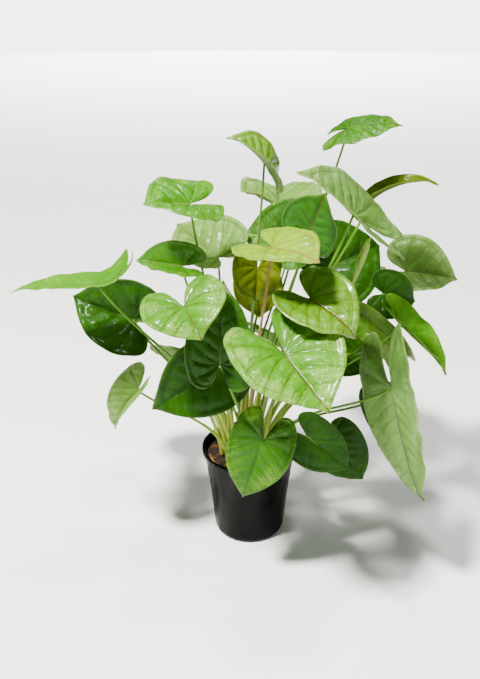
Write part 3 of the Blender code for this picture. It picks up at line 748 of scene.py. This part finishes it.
def rolled_mesh(foot):
    """The rolled leaf: a sheet wound into a slim spindle with a slanting free edge."""
    bm = bmesh.new()
    flat_layer, edge_layer, up_layer = map_layers(bm)
    low = Vector(ROLLED_LOW) * MM
    tip = Vector(ROLLED_TIP) * MM
    way = (tip - low).normalized()
    side = way.orthogonal().normalized()
    front = way.cross(side)
    grid = bmesh.ops.create_grid(bm, x_segments=ROLL_SIDES, y_segments=ROLL_STEPS, size=1)
    for vert in grid["verts"]:
        around = (vert.co.x + 1) / 2
        along = (vert.co.y + 1) / 2 * (1 - ROLLED_SLANT * around)
        width = 0.3 + 0.7 * smoothstep(0, 0.55, along) - 0.5 * smoothstep(0.75, 1, along)
        radius = ROLLED_RADIUS * width * (0.5 + 0.5 * around)
        angle = around * ROLLED_TURNS * 2 * math.pi - ROLLED_START
        outward = side * math.cos(angle) + front * math.sin(angle)
        vert.co = low.lerp(tip, along) + outward * radius
        vert[flat_layer] = (along * 3, around * 2, 0)
        vert[edge_layer] = (around, along, 0)
        vert[up_layer] = outward
    thicken(bm, settings().blade)
    places, radii = petiole_line(ROLLED_LOW, foot)
    places.append(low.lerp(tip, 0.12))
    radii.append(NECK_OF_BLADE)
    for face in add_tube(bm, places, radii, PETIOLE_SIDES, settings().groove):
        face.material_index = 1
    write_maps(bm)
    return new_mesh("rolled_leaf_form", bm)


def root_mesh(name, spots):
    """A root as a wavering tube over the soil."""
    bm = bmesh.new()
    height = SOIL_TOP + ROOT_RADIUS + GAP
    corners = [Vector((x * MM, y * MM, height)) for x, y in spots]
    places, radii = [], []
    for step in range(ROOT_STEPS + 1):
        share = step / ROOT_STEPS
        at = share * (len(corners) - 1)
        first = min(int(at), len(corners) - 2)
        spot = corners[first].lerp(corners[first + 1], at - first)
        waver = noise.noise_vector(spot / (6 * MM)) * 0.5 * MM
        places.append(spot + Vector((waver.x, waver.y, abs(waver.z))))
        radii.append(ROOT_RADIUS * (1 - 0.5 * share) * (1 + 0.15 * noise.noise(spot / (2 * MM))))
    add_tube(bm, places, radii, ROOT_SIDES)
    write_maps(bm)
    return new_mesh(name + "_form", bm)


def pot_mesh():
    """The pot turned from its profile, with a rolled lip and drain holes in its floor."""
    foot = [(FOOT_RADIUS - FOOT_ROUND * (1 - math.sin(a)), FOOT_ROUND * (1 - math.cos(a)))
            for a in (math.radians(d) for d in range(0, 91, 10))]
    outside = foot + [
        (STEP_RADIUS, STEP_HEIGHT - 2 * MM),
        (wall_radius(STEP_HEIGHT), STEP_HEIGHT),
        (NECK_RADIUS, POT_HEIGHT - RIM_BAND - 0.5 * MM),
        (NECK_RADIUS + 0.4 * MM, POT_HEIGHT - RIM_BAND),
        (RIM_RADIUS - 1 * MM, POT_HEIGHT - RIM_BAND + 1 * MM),
        (RIM_RADIUS - 0.4 * MM, POT_HEIGHT - RIM_BAND + 1.6 * MM),
        (RIM_RADIUS, POT_HEIGHT - 1.6 * MM),
        (RIM_RADIUS - 0.3 * MM, POT_HEIGHT - 0.5 * MM),
        (RIM_RADIUS - 1 * MM, POT_HEIGHT),
    ]
    inside = [
        (RIM_RADIUS - 2.6 * MM, POT_HEIGHT),
        (RIM_RADIUS - 3 * MM, POT_HEIGHT - 0.6 * MM),
        (NECK_RADIUS - POT_WALL, POT_HEIGHT - RIM_BAND),
        (wall_radius(STEP_HEIGHT) - POT_WALL, STEP_HEIGHT),
        (FOOT_RADIUS - POT_WALL, FOOT_ROUND),
        (FOOT_RADIUS - FOOT_ROUND, POT_WALL),
    ]
    bm = bmesh.new()
    profile = [(0, 0), *outside, *inside, (0, POT_WALL)]
    verts = [bm.verts.new((radius, 0, height)) for radius, height in profile]
    edges = [bm.edges.new(pair) for pair in zip(verts, verts[1:])]
    bmesh.ops.spin(bm, geom=verts + edges, cent=(0, 0, 0), axis=(0, 0, 1), angle=2 * math.pi,
                   steps=POT_SIDES, use_merge=True)
    bmesh.ops.remove_doubles(bm, verts=bm.verts, dist=MERGE)
    bmesh.ops.recalc_face_normals(bm, faces=bm.faces)
    for face in bm.faces:
        face.smooth = True
    return new_mesh("pot_form", bm)


def cut_drains(pot):
    """Six drain holes through the pot's floor."""
    bm = bmesh.new()
    for index in range(DRAIN_COUNT):
        place = ring_spot(DRAIN_RING, 2 * math.pi * index / DRAIN_COUNT, 0)
        bmesh.ops.create_cone(bm, cap_ends=True, segments=DRAIN_SIDES, radius1=DRAIN_RADIUS,
                              radius2=DRAIN_RADIUS, depth=4 * POT_WALL, matrix=Matrix.Translation(place))
    tool = new_object("drains", new_mesh("drains", bm))
    cut = pot.modifiers.new("drains", "BOOLEAN")
    cut.operation = "DIFFERENCE"
    cut.object = tool
    depsgraph = bpy.context.evaluated_depsgraph_get()
    mesh = bpy.data.meshes.new_from_object(pot.evaluated_get(depsgraph))
    pot.modifiers.clear()
    pot.data = mesh
    bpy.data.objects.remove(tool)


def free_of_stems(place, radius, spots):
    """Whether a lump on the soil stays clear of every sheath."""
    return all((place.xy - spot.xy).length > SHEATH_RADIUS + radius for spot in spots)


def soil_spot(chance, radius):
    """A place on the soil for a lump of some radius."""
    reach = (wall_radius(SOIL_TOP) - POT_WALL - radius - 1 * MM) * math.sqrt(chance.random())
    return ring_spot(reach, chance.random() * 2 * math.pi, SOIL_TOP)


def roughen(verts, amount, chance):
    """The corners of a lump moved a little each its own way."""
    for vert in verts:
        vert.co += Vector([chance.uniform(-1, 1) for _ in range(3)]) * amount


def turned_by(chance):
    """Any turn about the upright, and a small tilt."""
    turn = Matrix.Rotation(chance.random() * LUMP_TURN, 4, "Z")
    return turn @ Matrix.Rotation(chance.uniform(-LUMP_TILT, LUMP_TILT), 4, "X")


def crumbs_mesh(spots):
    """Crumbs of potting mix all over the soil."""
    chance = random.Random(4)
    bm = bmesh.new()
    for _ in range(settings().crumbs):
        radius = chance.uniform(0.6, 2.2) * MM
        place = soil_spot(chance, radius)
        if not free_of_stems(place, radius, spots):
            continue
        shape = Matrix.Translation(place + Vector((0, 0, radius * 0.4))) @ turned_by(chance)
        shape = shape @ Matrix.Diagonal((1, chance.uniform(0.6, 1), chance.uniform(0.5, 0.9), 1))
        lump = bmesh.ops.create_icosphere(bm, subdivisions=1, radius=radius, matrix=shape)
        roughen(lump["verts"], radius * 0.2, chance)
    return new_mesh("soil_crumbs", bm)


def bark_mesh(spots):
    """Flat bits of bark among the crumbs."""
    chance = random.Random(9)
    bm = bmesh.new()
    for _ in range(settings().barks):
        length = chance.uniform(2.5, 6) * MM
        place = soil_spot(chance, length / 2)
        if not free_of_stems(place, length / 2, spots):
            continue
        shape = Matrix.Translation(place + Vector((0, 0, 1.2 * MM))) @ turned_by(chance)
        shape = shape @ Matrix.Diagonal((length, length * chance.uniform(0.35, 0.7), 1.2 * MM, 1))
        chip = bmesh.ops.create_cube(bm, size=1, matrix=shape)
        edges = list({edge for vert in chip["verts"] for edge in vert.link_edges})
        cut = bmesh.ops.bevel(bm, geom=edges, affect="EDGES", offset=0.3 * MM, segments=1,
                              profile=0.5, material=-1)
        roughen(cut["verts"], 0.2 * MM, chance)
    return new_mesh("soil_bark", bm)


# Materials

def feed(node, feeds):
    """Puts values and sockets into a node's inputs."""
    for key, value in feeds.items():
        if isinstance(value, bpy.types.NodeSocket):
            node.id_data.links.new(value, node.inputs[key])
        else:
            node.inputs[key].default_value = value


def add(tree, kind, *inputs, **settings):
    """Adds a node of a kind with its settings and its inputs in order, and gives its output."""
    name, sockets, output, usual = KINDS.get(kind) or ("Math", range(3), 0, {"operation": kind})
    made = tree.nodes.new("ShaderNode" + name)
    for key, value in {**usual, **settings}.items():
        setattr(made, key, value)
    feed(made, dict(zip(sockets, inputs)))
    return made.outputs if output is None else made.outputs[output]


def new_surface(name):
    """A new material, its shader, and the function that adds a node to it."""
    surface = bpy.data.materials.new(name)
    surface.use_nodes = True
    return surface, surface.node_tree.nodes["Principled BSDF"], partial(add, surface.node_tree)


def leaf_veins(node, flat):
    """The distance from the nearest lateral vein, from 0 to 0.5, and from the midrib, in half
    widths, the place along the blade, and a noise in streaks that follow the laterals."""
    along, aside, _ = node("split", flat)
    across = node("ABSOLUTE", aside)
    bent = node("MULTIPLY_ADD", node("MULTIPLY", across, across), -VEIN_BEND, along)
    ahead = node("MULTIPLY_ADD", across, -VEIN_LEAN, bent)
    fan = node("SUBTRACT", FAN_START, node("ARCTAN2", across, bent))
    before = node("LESS_THAN", ahead, 0.0)
    inner = node("DIVIDE", node("MULTIPLY", fan, before), FAN_SPACING)
    outer = node("MULTIPLY", ahead, node("SUBTRACT", 1.0, before))
    phase = node("ADD", inner, node("DIVIDE", outer, VEIN_SPACING))
    waver = node("MULTIPLY_ADD", node("noise", flat, WAVERS, 3.0, 0.55), 2 * VEIN_WAVER, -VEIN_WAVER)
    vein = node("PINGPONG", node("ADD", phase, waver), 0.5)
    drawn_out = node("join", node("MULTIPLY", phase, STREAK_DRAW), across, aside)
    return vein, across, along, node("noise", drawn_out, LEAF_STREAKS, 4.0, 0.6)


def leaf_material(name, look, under=False):
    """A living blade: a waxy skin over soft tissue that light comes through, in patches of
    two greens between the veins, with a fine net of small veins. Lower faces are paler
    and duller, and their veins stand out instead of lying in grooves."""
    surface, shader, node = new_surface(name)
    place = node("place")
    flat = node("map", uv_map="flat")
    edge = node("split", node("map", uv_map="edge"))[0]
    vein, across, along, streaks = leaf_veins(node, flat)

    # The drawn veins: laterals with a flush beside them, the midrib and the margin's vein
    lateral = node("ease", vein, 0.008, 0.045, look.veins * 0.8, 0.0)
    flush = node("ease", vein, 0.0, 0.2, look.veins * 0.6, 0.0)
    flush = node("MULTIPLY", flush, node("ease", edge, 0.1, 0.7, 1.0, 0.0))
    midrib = node("ease", across, 0.01, 0.03, min(1.0, look.veins * 1.8), 0.0)
    from_hem = node("ABSOLUTE", node("SUBTRACT", edge, MARGIN_VEIN))
    hem = node("ease", from_hem, 0.002, 0.012, look.veins * 0.5, 0.0)
    drawn = node("MAXIMUM", node("MAXIMUM", lateral, midrib), node("MAXIMUM", hem, flush))

    # The patches, broad darker areas, painted shade on the lobes, veins and margin, one over the other
    fine = node("noise", flat, SPECKLES, 4.0, 0.7)
    mottle = node("MULTIPLY", node("noise", place, look.coarse * CLOUDS, 3.0, 0.55), 0.3)
    mottle = node("MULTIPLY_ADD", fine, 0.4, mottle)
    mottle = node("MULTIPLY_ADD", streaks, 0.34, mottle)
    mottle = node("MULTIPLY_ADD", node("ease", edge, 0.45, 0.9), 0.07, mottle)
    patch = node("ease", mottle, 0.62 - 0.2 * look.cover, 0.76 - 0.2 * look.cover, 0.0, 0.8)
    patch = node("MULTIPLY", patch, node("ease", vein, 0.03, 0.2, 0.3, 1.0))
    tint = node("blend", patch, paint(look.base), paint(look.patch))
    broad = node("ease", node("noise", place, BROAD_AREAS, 2.0, 0.55), 0.38, 0.66, 0.0, 0.55)
    tint = node("multiply", broad, tint, paint("old_tissue"))
    # Painted shade: the lobes behind the petiole are darkened, as though lying in the shade of the
    # hollow between them
    lobes = node("ease", along, 0.3, -0.3, 0.0, look.dusk)
    tint = node("multiply", lobes, tint, paint("painted_lobe_shade"))
    tint = node("blend", drawn, tint, paint(look.vein))
    tint = node("blend", node("ease", edge, 0.975, 1.0, 0.0, look.veins * 0.5), tint, paint("margin"))
    if under:
        tint = node("blend", 0.45, tint, paint("underside"))

    # The relief too fine for the mesh: grooves, the net of small veins, puckers and grain
    net = node("ease", node("cells", flat, NET), 0.0, 0.12, -0.25, 0.0)
    groove = node("MINIMUM", node("ease", vein, 0.0, 0.08), node("ease", across, 0.0, 0.06))
    groove = node("MINIMUM", groove, node("ease", from_hem, 0.0, 0.02))
    puckers = node("MULTIPLY", node("noise", flat, PUCKERS, 2.5, 0.55), 4.5)
    wrinkles = node("MULTIPLY_ADD", node("noise", flat, WRINKLES, 2.0, 0.55), 1.6, puckers)
    height = node("ADD", node("MULTIPLY_ADD", groove, 1.4, net), wrinkles)
    height = node("MULTIPLY_ADD", fine, 0.4, height)
    height = node("MULTIPLY_ADD", streaks, 2.5, height)
    feed(shader, {
        "Base Color": tint, "Specular IOR Level": 0.04 + 0.3 * look.shine,
        "Roughness": node("MULTIPLY_ADD", fine, 0.14, look.rough + (0.15 if under else -0.08)),
        "Normal": node("bump", height, -LEAF_BUMP if under else LEAF_BUMP),
        "Coat Weight": 0.0 if under else look.shine, "Coat Roughness": 0.16})
    through = node("translucent", node("blend", 0.6, tint, paint("glow")))
    mixed = node("both", look.glow, shader.outputs[0], through)
    feed(surface.node_tree.nodes["Material Output"], {0: mixed})
    return surface


def petiole_material(name, upper):
    """A smooth juicy stalk: cream where it sheathes the crown, turning green upwards, with fine
    lengthwise streaks."""
    surface, shader, node = new_surface(name)
    share = node("split", node("map", uv_map="flat"))[0]
    streaks = node("noise", node("stretch", node("place"), STALK_STREAKS), 1.0, 3.0, 0.55)
    turn = node("ease", node("MULTIPLY_ADD", streaks, 0.2, share), 0.12, 0.62)
    tint = node("blend", turn, paint("sheath"), paint(upper))
    dark = node("ease", streaks, 0.4, 0.7, 0.0, 0.35)
    feed(shader, {
        "Base Color": node("multiply", dark, tint, paint("streak")), "Specular IOR Level": 0.15,
        "Roughness": node("MULTIPLY_ADD", streaks, 0.2, 0.3),
        "Normal": node("bump", streaks, 0.15 * MM, 0.5)})
    return surface


def pot_material():
    """Thin injection-moulded black plastic: a soft sheen, faint upright flow streaks, painted
    lighter grey as painted sheen, pin-prick texture, and dusty greyish rubbing near the rim and foot."""
    surface, shader, node = new_surface("pot_black_plastic")
    place = node("place")
    flow = node("noise", node("stretch", place, POT_FLOW), 1.0, 3.0, 0.55)
    height = node("split", place)[2]
    band = node("MAXIMUM", node("ease", height, 0.095, 0.11), node("ease", height, 0.02, 0.0))
    dust = node("ease", node("noise", place, POT_DUST, 5.0, 0.65), 0.5, 0.72)
    worn = node("MULTIPLY", dust, node("MULTIPLY_ADD", band, 0.5, 0.25))
    # Painted sheen: the upright flow streaks lighten the black towards grey, as streaks of gloss; the
    # dusty rubbing near the rim and foot is real wear
    wear_and_sheen = node("MAXIMUM", worn, node("ease", flow, 0.46, 0.68, 0.0, 0.4))
    bumps = node("MULTIPLY_ADD", node("noise", place, POT_PRICKS, 2.0, 0.55), 0.3, flow)
    feed(shader, {
        "Base Color": node("blend", wear_and_sheen, paint("pot"), paint("scuff")), "Specular IOR Level": 0.04,
        "Roughness": node("MULTIPLY_ADD", worn, 0.2, node("ease", flow, 0.38, 0.62, 0.22, 0.5)),
        "Normal": node("bump", bumps, 0.12 * MM, 0.5)})
    return surface


def earth_material(name, first, second, scale):
    """Crumbly potting mix or bark: matte, fibrous and broken in colour."""
    surface, shader, node = new_surface(name)
    place = node("place")
    lumps = node("noise", place, scale, 6.0, 0.7)
    fibres = node("noise", place, scale * FIBRES_TO_A_LUMP, 4.0, 0.7)
    tint = node("blend", node("ease", lumps, 0.42, 0.62), paint(first), paint(second))
    dark = node("ease", fibres, 0.45, 0.7, 0.0, 0.7)
    feed(shader, {
        "Base Color": node("multiply", dark, tint, paint("fibre")), "Roughness": 0.92,
        "Normal": node("bump", node("ADD", lumps, fibres), 1.0 * MM)})
    return surface


def root_material():
    """A tan living root: woody skin with darker rings."""
    surface, shader, node = new_surface("root_tan_skin")
    rings = node("noise", node("place"), ROOT_RINGS, 4.0, 0.55)
    tint = node("blend", node("ease", rings, 0.4, 0.65, 0.0, 0.7), paint("root"), paint("bark"))
    feed(shader, {"Base Color": tint, "Roughness": 0.6, "Normal": node("bump", rings, 0.3 * MM)})
    return surface


def floor_material():
    """A pale matte paper floor with a trace of tooth."""
    surface, shader, node = new_surface("floor_paper")
    tooth = node("noise", node("place"), PAPER_TOOTH, 3.0, 0.55)
    tint = node("blend", node("ease", tooth, 0.3, 0.7, 0.0, 0.03), paint("floor"), paint("scuff"))
    feed(shader, {"Base Color": tint, "Roughness": 0.85, "Normal": node("bump", tooth, 0.05 * MM)})
    return surface


# Operators

def add_light(name, place, aim, across, watts, tint, spread):
    """A round soft light that looks at a point; a small spread keeps it off what is beside it."""
    lamp = bpy.data.lights.new(name, "AREA")
    lamp.shape = "DISK"
    lamp.size = across
    lamp.energy = watts
    lamp.spread = math.radians(spread)
    lamp.color = tint
    holder = new_object(name, lamp)
    holder.location = place
    holder.rotation_euler = (Vector(aim) - Vector(place)).to_track_quat("-Z", "Y").to_euler()


def lay_floor():
    """The round paper floor that the pot stands on."""
    bm = bmesh.new()
    bmesh.ops.create_circle(bm, cap_ends=True, segments=FLOOR_SIDES, radius=FLOOR_RADIUS)
    floor = new_object("floor", new_mesh("floor", bm))
    floor.data.materials.append(floor_material())


def light_world():
    """The surroundings: pale to the camera and dim to everything else."""
    world = bpy.context.scene.world or bpy.data.worlds.new("studio")
    bpy.context.scene.world = world
    world.use_nodes = True
    tree = world.node_tree
    strength = add(tree, "ease", add(tree, "seen"), 0, 1, WORLD_STRENGTH, BACKGROUND)
    feed(tree.nodes["Background"], {"Color": (1, 1, 1, 1), "Strength": strength})


def place_camera():
    """The camera, where the photograph was taken from."""
    camera = bpy.data.cameras.new("camera")
    camera.sensor_fit = "VERTICAL"
    camera.sensor_height = CAMERA_SENSOR
    camera.lens = CAMERA_LENS
    camera.clip_end = CAMERA_SIGHT
    holder = new_object("camera", camera)
    holder.location = CAMERA_PLACE
    holder.rotation_euler = (CAMERA_TILT, 0, 0)
    bpy.context.scene.camera = holder


class ARROWHEAD_OT_leaves(bpy.types.Operator):
    """Build every open leaf with its veins, ribs and petiole"""
    bl_idname = "arrowhead.leaves"
    bl_label = "Leaves"

    def execute(self, context):
        spots = feet()
        tops = {key: leaf_material("blade_" + key, look) for key, look in LOOKS.items()}
        unders = {key: leaf_material("blade_under_" + key, look, True) for key, look in LOOKS.items()}
        stalks = {name: petiole_material(name, name) for name in ("petiole", "petiole_pink")}
        for seed, (name, leaf) in enumerate(LEAVES.items()):
            stalk = stalks["petiole_pink" if leaf.look == "chartreuse" else "petiole"]
            form = name + "_form"
            mesh = leaf_mesh(form, leaf, spots[name], seed)
            surfaces = (tops[leaf.look], unders[leaf.look], stalk)
            place_piece(form, mesh, surfaces, (name,))
        return {"FINISHED"}


class ARROWHEAD_OT_rolled_leaf(bpy.types.Operator):
    """Build the young leaf that is still rolled up"""
    bl_idname = "arrowhead.rolled_leaf"
    bl_label = "Rolled leaf"

    def execute(self, context):
        skin = leaf_material("blade_rolled", ROLLED_LOOK)
        stalk = petiole_material("petiole_rolled", "petiole")
        mesh = rolled_mesh(feet()["rolled_leaf"])
        place_piece("rolled_leaf_form", mesh, (skin, stalk), ("rolled_leaf",))
        return {"FINISHED"}


class ARROWHEAD_OT_roots(bpy.types.Operator):
    """Build the two tan roots on the soil"""
    bl_idname = "arrowhead.roots"
    bl_label = "Surface roots"

    def execute(self, context):
        skin = root_material()
        for name, spots in ROOTS.items():
            place_piece(name + "_form", root_mesh(name, spots), (skin,), (name,))
        return {"FINISHED"}


class ARROWHEAD_OT_pot(bpy.types.Operator):
    """Build the black nursery pot with its lip and drain holes"""
    bl_idname = "arrowhead.pot"
    bl_label = "Pot"

    def execute(self, context):
        pot = place_piece("pot_form", pot_mesh(), (pot_material(),), ("pot",))
        cut_drains(pot)
        return {"FINISHED"}


class ARROWHEAD_OT_soil(bpy.types.Operator):
    """Colour the soil and scatter its crumbs and bark"""
    bl_idname = "arrowhead.soil"
    bl_label = "Soil"

    def execute(self, context):
        spots = list(feet().values())
        earth = earth_material("potting_mix", "soil", "soil_dry", SOIL_LUMPS)
        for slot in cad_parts["soil"].material_slots:
            slot.material = earth
        place_piece("soil_crumbs", crumbs_mesh(spots), (earth,), ())
        bark = earth_material("bark_bits", "bark", "soil_dry", BARK_LUMPS)
        place_piece("soil_bark", bark_mesh(spots), (bark,), ())
        return {"FINISHED"}


class ARROWHEAD_OT_stage(bpy.types.Operator):
    """Set up the floor, lights and camera"""
    bl_idname = "arrowhead.stage"
    bl_label = "Stage"

    def execute(self, context):
        lay_floor()
        light_world()
        for row in LIGHTS:
            add_light(*row)
        for index in range(FAR_LIGHTS):
            out = Matrix.Rotation(2 * math.pi * index / FAR_LIGHTS, 3, "Z") @ Vector((0, 1, 0))
            place = out * FAR_DISTANCE + Vector((0, 0, FAR_HEIGHT))
            name = "far_floor_%d" % index
            add_light(name, place, out * FAR_REACH, FAR_REACH, FAR_WATTS, (1, 1, 1), FAR_SPREAD)
        place_camera()
        return {"FINISHED"}


OPERATORS = (ARROWHEAD_OT_leaves, ARROWHEAD_OT_rolled_leaf, ARROWHEAD_OT_roots, ARROWHEAD_OT_pot,
             ARROWHEAD_OT_soil, ARROWHEAD_OT_stage)


class ARROWHEAD_PT_panel(bpy.types.Panel):
    """Sizes, colours and one button for each group of pieces"""
    bl_label = "Arrowhead plant"
    bl_idname = "ARROWHEAD_PT_panel"
    bl_space_type = "VIEW_3D"
    bl_region_type = "UI"
    bl_category = "Arrowhead plant"

    def draw(self, context):
        column = self.layout.column()
        for operator in OPERATORS:
            column.operator(operator.bl_idname)
        for group in (context.scene.arrowhead_sizes, context.scene.arrowhead_palette):
            for name in group.__annotations__:
                column.prop(group, name)


CLASSES = (ARROWHEAD_PG_sizes, ARROWHEAD_PG_palette) + OPERATORS + (ARROWHEAD_PT_panel,)


def register():
    for kind in CLASSES:
        bpy.utils.register_class(kind)
    bpy.types.Scene.arrowhead_sizes = PointerProperty(type=ARROWHEAD_PG_sizes)
    bpy.types.Scene.arrowhead_palette = PointerProperty(type=ARROWHEAD_PG_palette)


def unregister():
    del bpy.types.Scene.arrowhead_palette
    del bpy.types.Scene.arrowhead_sizes
    for kind in reversed(CLASSES):
        bpy.utils.unregister_class(kind)


def main():
    """Builds everything in order."""
    register()
    for operator in OPERATORS:
        name = operator.bl_idname.split(".")[1]
        if getattr(bpy.ops.arrowhead, name)() != {"FINISHED"}:
            raise RuntimeError(name + " did not finish")


if __name__ == "__main__":
    main()
